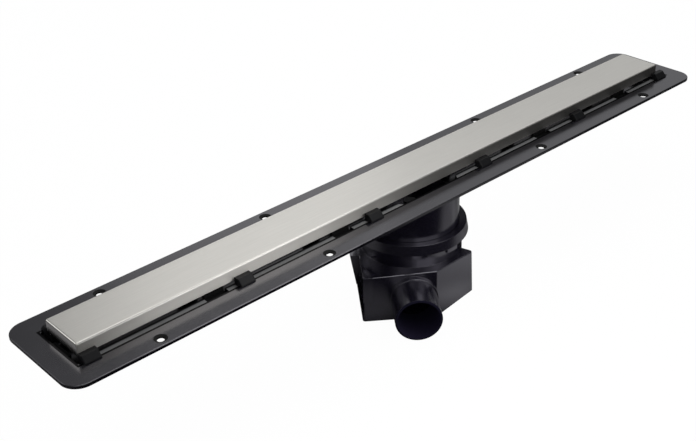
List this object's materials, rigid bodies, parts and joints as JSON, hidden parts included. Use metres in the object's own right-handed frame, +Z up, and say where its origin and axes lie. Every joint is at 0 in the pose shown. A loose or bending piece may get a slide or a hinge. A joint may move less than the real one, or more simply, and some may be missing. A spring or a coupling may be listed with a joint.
{
  "type": "linear shower drain",
  "caption": "Long black moulded channel with a flange, a folded steel cover and a trap that swivels under its outlet neck.",
  "frame": {"origin": "centre of the trap's flat base, on the upright axis of the channel's outlet neck, on which the trap swivels", "axes": "+Z up, out of the cover; +X along the channel; the spigot points to -X and -Y"},
  "size_m": [0.9, 0.1644, 0.146],
  "materials": {
    "channel_plastic": "satin moulded",
    "clip_plastic": "satin moulded",
    "support_plastic": "matte moulded",
    "trap_plastic": "glossy moulded",
    "inner_plastic": "plain moulded",
    "seal_rubber": "matte",
    "cover_steel": "brushed along its length"
  },
  "bodies": {
    "channel": {"channel_body": "channel_plastic", "cover_plate": "cover_steel", "hair_strainer": "inner_plastic", "dip_tube": "inner_plastic", "dip_tube_seal": "seal_rubber", "cover_support_1": "support_plastic", "cover_support_2": "support_plastic", "cover_support_3": "support_plastic", "cover_support_4": "support_plastic", "spacer_clip_front_1": "clip_plastic", "spacer_clip_front_2": "clip_plastic", "spacer_clip_front_3": "clip_plastic", "spacer_clip_front_4": "clip_plastic", "spacer_clip_front_5": "clip_plastic", "spacer_clip_front_6": "clip_plastic", "spacer_clip_back_1": "clip_plastic", "spacer_clip_back_2": "clip_plastic", "spacer_clip_back_3": "clip_plastic", "spacer_clip_back_4": "clip_plastic", "spacer_clip_back_5": "clip_plastic", "spacer_clip_back_6": "clip_plastic"},
    "trap": {"trap_housing": "trap_plastic", "union_nut": "trap_plastic", "neck_gasket": "seal_rubber", "siphon_cup": "inner_plastic"}
  },
  "joints": [
    {"name": "trap_swivel", "type": "hinge", "parent": "channel", "child": "trap", "pos_m": [0, 0, 0.0735], "axis": [0, 0, 1], "continuous": true}
  ]
}
